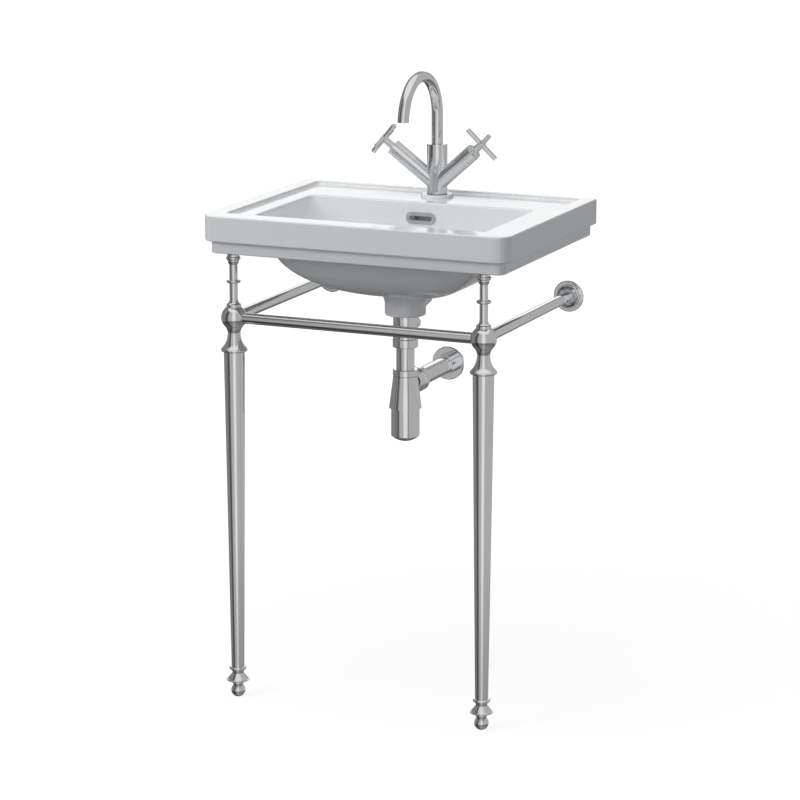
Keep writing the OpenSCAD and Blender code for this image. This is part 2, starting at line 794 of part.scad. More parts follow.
module tap_body() color(chrome_grey) from_floor() difference() {
    union() {
        at_tap(column_base_h) cylinder(d = column_d, h = column_h);
        for (side = [-1, 1]) along_arm(side) cylinder(d = arm_d, h = arm_len - valve_flange_t);
    }
    at_tap(column_top_h - spout_bore_depth) cylinder(d = spout_d + 2 * running, h = spout_bore_depth + over);
    at_tap(column_top_h - mix_chamber_depth) cylinder(d = mix_chamber_d, h = mix_chamber_depth);
    for (side = [-1, 1]) {
        along_arm(side) translate([0, 0, chamber_start])
            cylinder(d = valve_d + 2 * seat, h = valve_chamber + over);
        along_arm(side) translate([0, 0, supply_start])
            cylinder(d = supply_d, h = chamber_start - supply_start + over);
        along_arm(side) translate([-side * mix_offset, 0, mix_start])
            cylinder(d = mix_d, h = chamber_start - mix_start + over);
        at(side * supply_x, tap_y, column_base_h - over) cylinder(d = inlet_d, h = inlet_depth + over);
        at(side * supply_x, tap_y, column_base_h) cylinder(d = supply_d, h = supply_rise);
    }
    at(0, tap_y + fixing_y, column_base_h - over) cylinder(d = fixing_d + 2 * seat, h = fixing_grip + over);
    at_tap(column_top_h - stop_drop) rotate(stop_angle) rotate([0, 90, 0])
        cylinder(d = stop_d + 2 * seat, h = column_d);
}

module base_gasket() color(rubber_black) from_floor() at_tap(tap_base_h)
    tube(column_d - 2 * seat, tap_hole_d, gasket_t);

module fixing_stud() color(brass_yellow) from_floor()
    at(0, tap_y + fixing_y, stud_end_h)
        cylinder(d = fixing_d, h = column_base_h + fixing_grip - over - stud_end_h);

module horseshoe(t) {
    difference() {
        cylinder(d = horseshoe_d, h = t);
        translate([-horseshoe_slot / 2, -horseshoe_slot_y, -over])
            cube([horseshoe_slot, horseshoe_d, t + 2 * over]);
        translate([0, -fixing_y, -over]) cylinder(d = fixing_d + 6 * seat, h = t + 2 * over);
    }
}

module rubber_horseshoe() color(rubber_black) from_floor() at_tap(deck_under_h - rubber_t)
    horseshoe(rubber_t);

module steel_horseshoe() color(steel_grey) from_floor() at_tap(deck_under_h - rubber_t - steel_t)
    horseshoe(steel_t);

module stud_nut() color(brass_yellow) from_floor()
    at(0, tap_y + fixing_y, deck_under_h - rubber_t - steel_t - nut_h) difference() {
        cylinder(d = nut_d, h = nut_h, $fn = 6);
        translate([0, 0, -over]) cylinder(d = fixing_d + 2 * seat, h = nut_h + 2 * over);
    }

// Swan-neck spout, which turns in the column between two stops
module along_bend(angle) {
    at_tap(bend_h) translate([0, -spout_bend_r, 0]) rotate([angle, 0, 0])
        translate([0, spout_bend_r, 0]) children();
}

module bend(d) {
    at_tap(bend_h) translate([0, -spout_bend_r, 0]) rotate([90, 0, 90])
        rotate_extrude(angle = spout_sweep) translate([spout_bend_r, 0]) circle(d = d);
}

module seal_groove(drop) {
    at_tap(column_top_h - drop - seal_groove_h / 2) difference() {
        cylinder(d = spout_d + over, h = seal_groove_h);
        translate([0, 0, -over]) cylinder(d = seal_groove_d, h = seal_groove_h + 2 * over);
    }
}

module stop_groove() {
    half = swing + stop_play;
    at_tap(column_top_h - stop_drop - groove_h / 2) rotate(stop_angle - half) rotate_extrude(angle = 2 * half)
        translate([groove_d / 2, 0]) square([spout_d / 2, groove_h]);
}

module spout() color(chrome_grey) from_floor() difference() {
    union() {
        at_tap(spout_start_h) cylinder(d = spout_d, h = bend_h - spout_start_h);
        bend(spout_d);
    }
    at_tap(spout_start_h - over) cylinder(d = spigot_bore_d, h = column_top_h - spout_start_h + 2 * over);
    at_tap(column_top_h) cylinder(d = spout_d - 2 * spout_wall, h = bend_h - column_top_h);
    bend(spout_d - 2 * spout_wall);
    along_bend(spout_sweep) translate([0, 0, -aerator_len])
        cylinder(d = spout_d - 2 * spout_wall, h = aerator_len + over);
    for (drop = seal_drops) seal_groove(drop);
    stop_groove();
}

module aerator() color(steel_grey) from_floor() along_bend(spout_sweep) translate([0, 0, -aerator_len]) {
    tube(spout_d - 2 * spout_wall - 2 * running, aerator_bore, aerator_len - aerator_set);
    for (turn = [0, 90]) rotate(turn)
        translate([-aerator_bore / 2 - over / 2, -aerator_bar / 2, aerator_len / 2])
            cube([aerator_bore + over, aerator_bar, aerator_bar]);
}

module spout_seals() color(rubber_black) from_floor() for (drop = seal_drops)
    at_tap(column_top_h - drop) rotate_extrude()
        translate([(seal_groove_d + spout_d) / 4 + seat / 4, 0])
            circle(d = (spout_d - seal_groove_d) / 2 - seat / 2);

module spout_stop() color(steel_grey) from_floor() at_tap(column_top_h - stop_drop) rotate(stop_angle)
    translate([stop_reach, 0, 0]) rotate([0, 90, 0])
        cylinder(d = stop_d, h = column_d / 2 - stop_reach - apart);

// Headwork of one arm
module valve(side) {
    color(chrome_grey) from_floor() along_arm(side) difference() {
        union() {
            translate([0, 0, arm_len - valve_flange_t]) cylinder(d = arm_d, h = valve_flange_t);
            translate([0, 0, valve_waist_end]) cylinder(d = valve_d, h = arm_len - valve_waist_end - over);
            translate([0, 0, valve_waist_start]) cylinder(d = valve_waist_d, h = valve_waist_len + over);
            translate([0, 0, valve_nose_start]) cylinder(d = valve_nose_d, h = valve_nose + over);
        }
        translate([0, 0, spindle_start]) cylinder(d = spindle_d + 2 * running, h = arm_len);
        translate([0, 0, valve_nose_start - over]) cylinder(d = supply_d, h = valve_inlet_len + over);
        for (turn = [0, 90]) translate([0, 0, valve_waist_start + valve_window_d]) rotate(turn)
            translate([-valve_d / 2, 0, 0]) rotate([0, 90, 0]) cylinder(d = valve_window_d, h = valve_d);
    }
}

module left_valve() valve(-1);
module right_valve() valve(1);

module spindle(side) {
    color(steel_grey) from_floor() along_arm(side) translate([0, 0, spindle_start + seat])
        cylinder(d = spindle_d, h = spindle_end - spindle_start - seat);
}

module left_spindle() spindle(-1);
module right_spindle() spindle(1);

// Bar of a cross handle, with a small chamfer at both tips
module handle_bar() {
    rotate([90, 0, 0]) translate([0, 0, -handle_w / 2]) {
        cylinder(d1 = handle_bar_d - 2 * bar_chamfer, d2 = handle_bar_d, h = bar_chamfer);
        translate([0, 0, bar_chamfer]) cylinder(d = handle_bar_d, h = handle_w - 2 * bar_chamfer);
        translate([0, 0, handle_w - bar_chamfer])
            cylinder(d1 = handle_bar_d, d2 = handle_bar_d - 2 * bar_chamfer, h = bar_chamfer);
    }
}

module handle(side) {
    color(chrome_grey) from_floor() along_arm(side) difference() {
        union() {
            translate([0, 0, arm_len + handle_lift])
                cylinder(d = hub_d, h = handle_place + hub_cap - arm_len - handle_lift);
            for (turn = [0, 90]) translate([0, 0, handle_place]) rotate(turn) handle_bar();
        }
        cylinder(d = spindle_d + 2 * seat, h = spindle_end + seat);
        translate([0, 0, handle_grub_place]) rotate([0, side * 90, 0]) cylinder(d = grub_d, h = hub_d);
    }
}

module left_handle() handle(-1);
module right_handle() handle(1);

module handle_screw(side) {
    color(steel_grey) from_floor() along_arm(side) translate([0, 0, handle_grub_place])
        rotate([0, side * 90, 0])
        translate([0, 0, spindle_d / 2 + seat])
            cylinder(d = grub_d - 2 * seat, h = hub_d / 2 - spindle_d / 2 - 2 * seat);
}

module left_handle_screw() handle_screw(-1);
module right_handle_screw() handle_screw(1);

// Trap
module slip_nut(d, thread, len) {
    difference() {
        union() {
            translate([0, 0, nut_edge]) cylinder(d = d, h = len - 2 * nut_edge);
            cylinder(d1 = d - 2 * nut_edge, d2 = d, h = nut_edge);
            translate([0, 0, len - nut_edge]) cylinder(d1 = d, d2 = d - 2 * nut_edge, h = nut_edge);
        }
        translate([0, 0, -over]) cylinder(d = pipe_d + 4 * seat, h = len + 2 * over);
        translate([0, 0, nut_lip]) cylinder(d = thread + 4 * seat, h = len);
    }
}

module slip_washer() {
    tube(tail_thread_d - 4 * seat, pipe_d + 4 * seat, washer_t);
}

// The trap's outlet, its axis along +Y from the cup's axis
module along_outlet(reach) {
    at_waste(outlet_h) rotate([-90, 0, 0]) translate([0, 0, reach]) children();
}

module tail_nut() color(chrome_grey) from_floor() at_waste(tail_nut_h)
    slip_nut(tail_nut_d, tail_thread_d, tail_nut_len);

module ring_nut() color(chrome_grey) from_floor() at_waste(ring_nut_h + ring_nut_len) mirror([0, 0, 1])
    slip_nut(ring_nut_d, tail_thread_d, ring_nut_len);

module outlet_nut() color(chrome_grey) from_floor() along_outlet(outlet_nut_place + outlet_nut_len)
    mirror([0, 0, 1])
    slip_nut(outlet_nut_d, tail_thread_d, outlet_nut_len);

module trap_washers() color(rubber_black) from_floor() {
    at_waste(tail_nut_h + nut_lip + seat / 2) slip_washer();
    at_waste(ring_nut_h + ring_nut_len - nut_lip - washer_t - seat / 2) slip_washer();
    along_outlet(outlet_nut_place + outlet_nut_len - nut_lip - washer_t - seat / 2) slip_washer();
}

module dip_pipe() color(chrome_grey) from_floor() at_waste(dip_end_h)
    tube(pipe_d, pipe_d - 2 * pipe_wall, tail_end_h + pipe_grip - dip_end_h);

module trap_head() color(chrome_grey) from_floor() difference() {
    union() {
        at_waste(head_end_h) cylinder(d1 = head_end_d, d2 = head_top_d, h = ring_nut_h - apart - head_end_h);
        at_waste(ring_nut_h - over) cylinder(d = tail_thread_d,
            h = ring_nut_len - nut_lip - washer_t - 2 * seat + over);
        along_outlet(branch_start) cylinder(d = tail_thread_d,
            h = outlet_nut_place + outlet_nut_len - nut_lip - washer_t - 2 * seat - branch_start);
    }
    at_waste(head_end_h - over) cylinder(d = cup_thread_d + 2 * seat, h = cup_grip + washer_t + over);
    at_waste(head_end_h + cup_grip) cylinder(d1 = cup_thread_d - 2 * head_wall,
        d2 = head_top_d - 2 * head_wall,
        h = ring_nut_h - head_wall - head_end_h - cup_grip);
    at_waste(head_end_h + cup_grip) cylinder(d = pipe_d + 4 * seat,
        h = ring_nut_h + ring_nut_len - head_end_h);
    along_outlet(0) cylinder(d = pipe_d + 4 * seat, h = outlet_nut_place + outlet_nut_len);
}

module cup_seal() color(rubber_black) from_floor() at_waste(head_end_h + cup_grip + seat / 2)
    tube(cup_thread_d - 2 * seat, cup_thread_d - 2 * head_wall, washer_t - seat);

module trap_cup() color(chrome_grey) from_floor() difference() {
    union() {
        at_waste(cup_end_h) cylinder(d = cup_d, h = cup_len - seat);
        at_waste(cup_end_h) cylinder(d = cup_thread_d, h = cup_len + cup_grip - seat);
        cup_dome_solid(0);
    }
    at_waste(cup_end_h) cylinder(d = cup_thread_d - 2 * cup_wall, h = cup_len + cup_grip + over);
    cup_dome_solid((cup_d - cup_thread_d) / 2 + cup_wall);
}

// Rounded bottom of the cup, a slice of a ball
module cup_dome_solid(inset) {
    r = cup_d / 2 - inset;
    h = cup_dome - inset;
    ball = (r * r + h * h) / (2 * h);
    at_waste(cup_end_h) intersection() {
        translate([0, 0, ball - h]) sphere(r = ball, $fn = 2 * $fn);
        translate([0, 0, -cup_dome]) cylinder(r = r, h = cup_dome + seat);
    }
}

// The stretch past the wall's face is drawn in a little, to enter the pipe inside the wall
module outlet_pipe() color(chrome_grey) from_floor() difference() {
    union() {
        along_outlet(outlet_pipe_start) cylinder(d = pipe_d, h = waste_y - outlet_pipe_start);
        along_outlet(waste_y - over) cylinder(d = outlet_end_d, h = outlet_past_wall + over);
    }
    along_outlet(outlet_pipe_start - over) cylinder(d = pipe_d - 2 * pipe_wall,
        h = waste_y + outlet_past_wall - outlet_pipe_start + 2 * over);
}

// Out from the wall, towards the front
module off_wall(x, z) {
    at(x, 0, z) rotate([90, 0, 0]) children();
}

module outlet_flange() color(chrome_grey) from_floor() off_wall(0, outlet_h) difference() {
    union() {
        cylinder(d = outlet_disc_d, h = outlet_disc_t / 2);
        translate([0, 0, outlet_disc_t / 2])
            cylinder(d1 = outlet_disc_d, d2 = outlet_disc_d - outlet_disc_t, h = outlet_disc_t / 2);
        cylinder(d = sleeve_d, h = sleeve_len);
    }
    translate([0, 0, -over]) cylinder(d = pipe_d + 4 * seat, h = sleeve_len + 2 * over);
}

// Stand
module basin_pads() color(rubber_black) from_floor() both_sides() at(0, leg_y, under_h - pad_t)
    cylinder(d = pad_d, h = pad_t);

module pillar(side) {
    foot_h = knot_top_h;
    mid_h = blend(foot_h, pillar_top_h, pillar_bead_share);
    color(chrome_grey) from_floor() at(side * leg_x, leg_y, 0) {
        translate([0, 0, foot_h - pillar_spigot]) cylinder(d = stud_d, h = pillar_spigot + over);
        translate([0, 0, foot_h + ledge_h / 2]) bead(ledge_d, ledge_h);
        translate([0, 0, foot_h]) cylinder(d = pillar_foot_d, h = pillar_foot_h);
        translate([0, 0, foot_h + pillar_foot_h + pillar_flare_h]) mirror([0, 0, 1])
            cove(pillar_d, pillar_foot_d, pillar_flare_h);
        translate([0, 0, foot_h + over]) cylinder(d = pillar_d, h = pillar_top_h - foot_h - 2 * over);
        translate([0, 0, mid_h]) bead(pillar_bead_d, pillar_bead_h);
        translate([0, 0, pillar_top_h - pillar_cup_drop]) sphere(d = pillar_cup_d);
        translate([0, 0, pillar_top_h - drum_h - pillar_collar_h / 2]) bead(pillar_collar_d, pillar_collar_h);
        translate([0, 0, pillar_top_h - drum_h]) cylinder(d = drum_d, h = drum_h);
    }
}

module left_pillar() pillar(-1);
module right_pillar() pillar(1);

// The sockets of a knot: one rail towards the other leg, one towards the wall
module at_sockets(side) {
    for (turn = [-side * 90, 180]) rotate(turn) rotate([90, 0, 0]) children();
}

// Half of a knot's outline: a ball, flat on top, on a flared neck
module knot_half() {
    neck_len = rail_h - knot_shoulder - knot_neck_h;
    neck_top = sqrt(knot_d * knot_d / 4 - knot_shoulder * knot_shoulder);
    step = neck_top - knot_neck_d / 2;
    arc = (step * step + neck_len * neck_len) / (2 * step);
    intersection() {
        circle(d = knot_d, $fn = 2 * $fn);
        translate([0, -knot_d / 2]) square([knot_d, knot_top_h - rail_h + knot_d / 2]);
    }
    translate([0, knot_neck_h - rail_h]) difference() {
        square([neck_top, neck_len + over]);
        translate([knot_neck_d / 2 + arc, 0]) circle(r = arc);
    }
}

module knot(side) {
    color(chrome_grey) from_floor() at(side * leg_x, leg_y, rail_h) difference() {
        rotate(side * seam_turn) rotate_extrude() knot_half();
        translate([0, 0, knot_top_h - rail_h - pillar_spigot - seat])
            cylinder(d = stud_d + 2 * seat, h = knot_d);
        translate([0, 0, knot_neck_h - rail_h - over]) cylinder(d = stud_d + 2 * seat, h = stud_grip + over);
        at_sockets(side) translate([0, 0, socket_start - seat]) cylinder(d = rail_d + 2 * seat, h = knot_d);
        at_sockets(side) translate([0, -knot_d, grub_place]) rotate([-90, 0, 0])
            cylinder(d = grub_d, h = knot_d);
    }
}

module left_knot() knot(-1);
module right_knot() knot(1);

module knot_screws() color(steel_grey) from_floor() for (side = [-1, 1])
    at(side * leg_x, leg_y, rail_h) at_sockets(side) translate([0, -rail_d / 2 - seat - grub_len, grub_place])
        rotate([-90, 0, 0]) cylinder(d = grub_d - 2 * seat, h = grub_len);

module leg_studs() color(steel_grey) from_floor() both_sides() at(0, leg_y, leg_stud_h)
    cylinder(d = stud_d, h = knot_neck_h + stud_grip - seat - leg_stud_h);

module leg(side) {
    color(chrome_grey) from_floor() at(side * leg_x, leg_y, 0) difference() {
        union() {
            translate([0, 0, leg_end_h]) cylinder(d1 = leg_end_d, d2 = leg_top_d, h = leg_top_h - leg_end_h);
            translate([0, 0, leg_top_h + leg_collar_h / 2]) bead(leg_collar_d, leg_collar_h);
            translate([0, 0, knot_neck_h]) mirror([0, 0, 1])
                cove(knot_neck_d, leg_collar_d - leg_collar_step, leg_cove_h);
        }
        translate([0, 0, leg_end_h - over]) cylinder(d = ankle_socket_d, h = ankle_spigot + 2 * over);
        translate([0, 0, leg_end_h + ankle_spigot])
            cylinder(d1 = ankle_socket_d, d2 = leg_top_d - 2 * leg_wall,
            h = leg_top_h - leg_plug_len - leg_end_h - ankle_spigot);
        translate([0, 0, leg_stud_h - seat]) cylinder(d = stud_d + 2 * seat, h = knot_neck_h);
    }
}

module left_leg() leg(-1);
module right_leg() leg(1);

module ankles() color(chrome_grey) from_floor() both_sides() at(0, leg_y, 0) difference() {
    union() {
        translate([0, 0, leg_end_h - over]) cylinder(d = ankle_socket_d - 2 * seat, h = ankle_spigot);
        translate([0, 0, leg_end_h - leg_collar_h / 2]) bead(ankle_collar_d, leg_collar_h);
        translate([0, 0, ankle_neck_h]) cove(ankle_neck_d, ankle_collar_d - leg_collar_h,
            leg_end_h - leg_collar_h - ankle_neck_h);
        translate([0, 0, ankle_disc_h]) cylinder(d1 = ankle_disc_d - ankle_rim, d2 = ankle_neck_d,
            h = ankle_neck_h - ankle_disc_h);
        translate([0, 0, ankle_disc_h]) bead(ankle_disc_d, ankle_rim);
        translate([0, 0, ankle_base_h]) cylinder(d1 = foot_stop_d, d2 = ankle_disc_d - ankle_rim,
            h = ankle_disc_h - ankle_base_h);
        translate([0, 0, ankle_end_h]) cylinder(d = foot_stop_d, h = ankle_base_h - ankle_end_h + over);
    }
    translate([0, 0, ankle_end_h - over]) cylinder(d = stud_d + 2 * running, h = foot_stem_len + 2 * over);
}

module foot(side) {
    ball_h = sqrt(foot_d * foot_d - foot_sole_d * foot_sole_d) / 2;
    color(chrome_grey) from_floor() at(side * leg_x, leg_y, 0) {
        intersection() {
            translate([0, 0, ball_h]) sphere(d = foot_d);
            cylinder(d = foot_d + over, h = foot_d);
        }
        translate([0, 0, ankle_end_h - apart - foot_neck_h])
            cylinder(d1 = foot_neck_d, d2 = foot_stop_d - foot_step, h = foot_neck_h);
        translate([0, 0, ball_h]) cylinder(d = stud_d, h = ankle_end_h + foot_stem_len - ball_h);
    }
}

module left_foot() foot(-1);
module right_foot() foot(1);

module front_rail() color(chrome_grey) from_floor() at(-leg_x + socket_start, leg_y, rail_h)
    rotate([0, 90, 0])
    tube(rail_d, rail_bore_d, 2 * leg_x - 2 * socket_start);

module side_rails() color(chrome_grey) from_floor() both_sides() at(0, leg_y - socket_start, rail_h)
    rotate([-90, 0, 0])
    tube(rail_d, rail_bore_d, leg_y - socket_start - flange_neck_len - apart);

module wall_flange(side) {
    color(chrome_grey) from_floor() off_wall(side * leg_x, rail_h) difference() {
        union() {
            difference() {
                union() {
                    translate([0, 0, flange_step / 2]) bead(flange_d, flange_step);
                    cylinder(d = flange_d - 2 * flange_step, h = 2 * flange_step - flange_edge);
                    translate([0, 0, 2 * flange_step]) bead(flange_bead_d, 2 * flange_edge);
                }
                translate([0, 0, flange_dish_floor])
                    cylinder(d1 = flange_neck_d, d2 = flange_dish_d,
                        h = 2 * flange_step + flange_edge - flange_dish_floor);
            }
            translate([0, 0, flange_neck_len]) mirror([0, 0, 1])
                cove(flange_neck_end_d, flange_neck_d, flange_neck_len - flange_dish_floor);
            cylinder(d = flange_neck_d, h = flange_dish_floor);
        }
        translate([0, 0, -over]) cylinder(d = spigot_d + 2 * seat, h = flange_neck_len + 2 * over);
        translate([0, 0, -over]) cylinder(d = bracket_d + over, h = bracket_t + over + seat);
    }
}

module left_wall_flange() wall_flange(-1);
module right_wall_flange() wall_flange(1);

module wall_brackets() color(steel_grey) from_floor() for (side = [-1, 1])
    off_wall(side * leg_x, rail_h) difference() {
    union() {
        cylinder(d = bracket_d, h = bracket_t);
        cylinder(d = spigot_d, h = spigot_len);
    }
    for (end = [-1, 1]) translate([end * bracket_hole_spacing / 2, 0, -over])
        cylinder(d = bracket_hole_d, h = bracket_t + 2 * over);
}

basin();
overflow_trim();
flange_seal();
cone_seal();
back_nut();
waste_body();
waste_plug();
plug_seal();
plug_latch();
port_seal();
port_nut();
tap_body();
base_gasket();
fixing_stud();
rubber_horseshoe();
steel_horseshoe();
stud_nut();
spout();
aerator();
spout_seals();
spout_stop();
left_valve();
right_valve();
left_spindle();
right_spindle();
left_handle();
right_handle();
left_handle_screw();
right_handle_screw();
tail_nut();
trap_washers();
dip_pipe();
ring_nut();
trap_head();
cup_seal();
trap_cup();
outlet_nut();
outlet_pipe();
outlet_flange();
basin_pads();
left_pillar();
right_pillar();
left_knot();
right_knot();
knot_screws();
leg_studs();
left_leg();
right_leg();
ankles();
left_foot();
right_foot();
front_rail();
side_rails();
left_wall_flange();
right_wall_flange();
wall_brackets();
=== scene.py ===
import math

import bmesh
import bpy
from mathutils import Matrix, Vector

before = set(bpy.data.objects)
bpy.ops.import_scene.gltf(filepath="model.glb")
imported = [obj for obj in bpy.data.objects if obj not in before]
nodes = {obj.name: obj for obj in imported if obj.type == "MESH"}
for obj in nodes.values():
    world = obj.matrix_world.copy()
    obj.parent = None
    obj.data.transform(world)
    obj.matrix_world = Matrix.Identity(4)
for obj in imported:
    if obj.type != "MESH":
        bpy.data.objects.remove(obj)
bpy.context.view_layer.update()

# The camera stands to the right of the basin, above the tap, and looks down a
# little through a long lens, so the legs stay nearly upright.
camera_data = bpy.data.cameras.new("camera")
camera = bpy.data.objects.new("camera", camera_data)
bpy.context.collection.objects.link(camera)
camera_place = (2.18045, -5.28088, 0.96887)
camera_forward = Vector((-0.38568, 0.89504, -0.22393))
sensor_width = 36
lens = 145.80
camera_reach = 60
camera.location = camera_place
camera.rotation_euler = camera_forward.to_track_quat("-Z", "Y").to_euler()
camera_data.sensor_width = sensor_width
camera_data.lens = lens
camera_data.clip_end = camera_reach
bpy.context.scene.camera = camera

# The floor is a plain pale sheet. The camera sees it white with the soft shadow
# of the legs, and it sends little light back up under the basin.
floor_height = -0.812
floor_half = 12
white = (1, 1, 1, 1)
floor_tone = (0.42, 0.42, 0.425, 1)
floor_seen_tone = (0.95, 0.95, 0.95, 1)
floor_glow_share = 0.80
floor_glow = 1.10
shadow_reach = 0.9
shadow_end = 2.0


def new_material(name):
    material = bpy.data.materials.new(name)
    material.use_nodes = True
    tree = material.node_tree
    tree.nodes.clear()
    return material, tree


def add_node(tree, kind, **values):
    made = tree.nodes.new(kind)
    for key, value in values.items():
        setattr(made, key, value)
    return made


def join(tree, source, output, target, entry):
    tree.links.new(source.outputs[output], target.inputs[entry])


floor_mesh = bpy.data.meshes.new("floor")
floor_corners = [(-floor_half, -floor_half, floor_height), (floor_half, -floor_half, floor_height),
                 (floor_half, floor_half, floor_height), (-floor_half, floor_half, floor_height)]
floor_mesh.from_pydata(floor_corners, [], [(0, 1, 2, 3)])
floor = bpy.data.objects.new("floor", floor_mesh)
bpy.context.collection.objects.link(floor)
floor_finish, tree = new_material("pale floor")
shade = add_node(tree, "ShaderNodeBsdfDiffuse")
glow = add_node(tree, "ShaderNodeEmission")
glow.inputs["Color"].default_value = white
glow.inputs["Strength"].default_value = floor_glow
path = add_node(tree, "ShaderNodeLightPath")
tone = add_node(tree, "ShaderNodeMix", data_type="RGBA")
tone.inputs[6].default_value = floor_tone
tone.inputs[7].default_value = floor_seen_tone
join(tree, path, "Is Camera Ray", tone, 0)
join(tree, tone, 2, shade, "Color")
seen = add_node(tree, "ShaderNodeMath", operation="MAXIMUM")
glass_seen = add_node(tree, "ShaderNodeMath", operation="MAXIMUM")
share = add_node(tree, "ShaderNodeMath", operation="MULTIPLY")
# Further out the camera sees more of the floor's glow, a painted white that rises with distance from the
# object and covers the shadow there; the sheet itself stays flat
away = add_node(tree, "ShaderNodeVectorMath", operation="LENGTH")
painted_white_by_distance = add_node(tree, "ShaderNodeMapRange")
painted_white_by_distance.inputs["From Min"].default_value = shadow_reach
painted_white_by_distance.inputs["From Max"].default_value = shadow_end
painted_white_by_distance.inputs["To Min"].default_value = floor_glow_share
painted_white_by_distance.inputs["To Max"].default_value = 1.0
mix = add_node(tree, "ShaderNodeMixShader")
out = add_node(tree, "ShaderNodeOutputMaterial")
join(tree, path, "Is Camera Ray", seen, 0)
join(tree, path, "Is Glossy Ray", seen, 1)
join(tree, seen, 0, glass_seen, 0)
join(tree, path, "Is Transmission Ray", glass_seen, 1)
join(tree, add_node(tree, "ShaderNodeTexCoord"), "Object", away, 0)
join(tree, away, "Value", painted_white_by_distance, "Value")
join(tree, glass_seen, 0, share, 0)
join(tree, painted_white_by_distance, 0, share, 1)
join(tree, share, 0, mix, 0)
join(tree, shade, 0, mix, 1)
join(tree, glow, 0, mix, 2)
join(tree, mix, 0, out, 0)
floor_mesh.materials.append(floor_finish)
floor.visible_glossy = False

# The world is a soft grey dome for light and plain white to look at.
world = bpy.data.worlds.new("studio")
bpy.context.scene.world = world
world.use_nodes = True
tree = world.node_tree
tree.nodes.clear()
dome_light = 0.25
path = add_node(tree, "ShaderNodeLightPath")
seen = add_node(tree, "ShaderNodeMath", operation="MAXIMUM")
glass_seen = add_node(tree, "ShaderNodeMath", operation="MAXIMUM")
soft = add_node(tree, "ShaderNodeBackground")
soft.inputs["Color"].default_value = (0.95, 0.97, 1, 1)
soft.inputs["Strength"].default_value = dome_light
plain = add_node(tree, "ShaderNodeBackground")
plain.inputs["Color"].default_value = white
plain.inputs["Strength"].default_value = 1.0
mix = add_node(tree, "ShaderNodeMixShader")
out = add_node(tree, "ShaderNodeOutputWorld")
join(tree, path, "Is Camera Ray", seen, 0)
join(tree, path, "Is Glossy Ray", seen, 1)
join(tree, seen, 0, glass_seen, 0)
join(tree, path, "Is Transmission Ray", glass_seen, 1)
join(tree, glass_seen, 0, mix, 0)
join(tree, soft, 0, mix, 1)
join(tree, plain, 0, mix, 2)
join(tree, mix, 0, out, 0)

# Three soft lamps: a wide one overhead, a tall one at the front left, and a weak
# fill at the right.


def soft_lamp(name, place, aim, size, power):
    data = bpy.data.lights.new(name, "AREA")
    data.shape = "SQUARE"
    data.size = size
    data.energy = power
    lamp = bpy.data.objects.new(name, data)
    bpy.context.collection.objects.link(lamp)
    lamp.location = place
    lamp.rotation_euler = (Vector(aim) - Vector(place)).to_track_quat("-Z", "Y").to_euler()
    lamp.visible_glossy = False
    return lamp


soft_lamp("overhead lamp", (-0.45, -0.8, 3.0), (0, -0.2, 0), 2.4, 47)
soft_lamp("front lamp", (-1.9, -3.1, 1.6), (0, -0.2, 0), 1.6, 46)
soft_lamp("side lamp", (3.2, -1.2, 0.4), (0, -0.2, 0), 1.8, 6)

# The studio's grey cards, a dome that only metal and glaze reflect: it gives the
# chrome its dark edges and bright middle, and the deck part of its paleness.
card_radius = 8
card_columns = 96
card_rows = 48
cards = bmesh.new()
bmesh.ops.create_uvsphere(cards, u_segments=card_columns, v_segments=card_rows, radius=card_radius)
bmesh.ops.reverse_faces(cards, faces=cards.faces)
card_mesh = bpy.data.meshes.new("grey cards")
cards.to_mesh(card_mesh)
cards.free()
card_dome = bpy.data.objects.new("grey_cards", card_mesh)
bpy.context.collection.objects.link(card_dome)
for face in card_mesh.polygons:
    face.use_smooth = True
card_finish, tree = new_material("grey cards")
spot = add_node(tree, "ShaderNodeTexCoord")
split = add_node(tree, "ShaderNodeSeparateXYZ")
join(tree, spot, "Object", split, 0)
# Angle round the object: 0 at the camera, towards -1 on its left and 1 on its right
turn = add_node(tree, "ShaderNodeVectorRotate", rotation_type="Z_AXIS")
camera_side = 22.4
turn.inputs["Angle"].default_value = math.radians(90 - camera_side)
join(tree, spot, "Object", turn, "Vector")
round_split = add_node(tree, "ShaderNodeSeparateXYZ")
join(tree, turn, 0, round_split, 0)
angle = add_node(tree, "ShaderNodeMath", operation="ARCTAN2")
join(tree, round_split, 1, angle, 0)
join(tree, round_split, 0, angle, 1)
half_turn = add_node(tree, "ShaderNodeMath", operation="MULTIPLY_ADD")
half_turn.inputs[1].default_value = 1 / (2 * math.pi)
half_turn.inputs[2].default_value = 0.5
join(tree, angle, 0, half_turn, 0)
round_ramp = add_node(tree, "ShaderNodeValToRGB")
join(tree, half_turn, 0, round_ramp, 0)


def set_ramp(ramp, stops):
    elements = ramp.color_ramp.elements
    while len(elements) > len(stops):
        elements.remove(elements[-1])
    while len(elements) < len(stops):
        elements.new(0.5)
    for element, (place, tone) in zip(elements, stops):
        element.position = place
        element.color = (*tone, 1)


# Plain cards stand round the object: each runs from the angle before to its own,
# in degrees from the camera, with its left below zero, and they blur at the edges.
grey_room = (0.50, 0.50, 0.50)
dim_side = (0.25, 0.25, 0.25)
dark_card = (0.10, 0.10, 0.10)
pale_card = (0.90, 0.90, 0.90)
dim_back = (0.35, 0.35, 0.35)
blur = 5
round_cards = [(-80, dim_side), (-50, dark_card), (-15, grey_room), (15, pale_card), (150, grey_room),
               (180, dim_back)]
round_stops = []
card_start = -180
for card_end, card_tone in round_cards:
    round_stops.append(((card_start + blur + 180) / 360, card_tone))
    round_stops.append(((card_end - blur + 180) / 360, card_tone))
    card_start = card_end
set_ramp(round_ramp, round_stops)
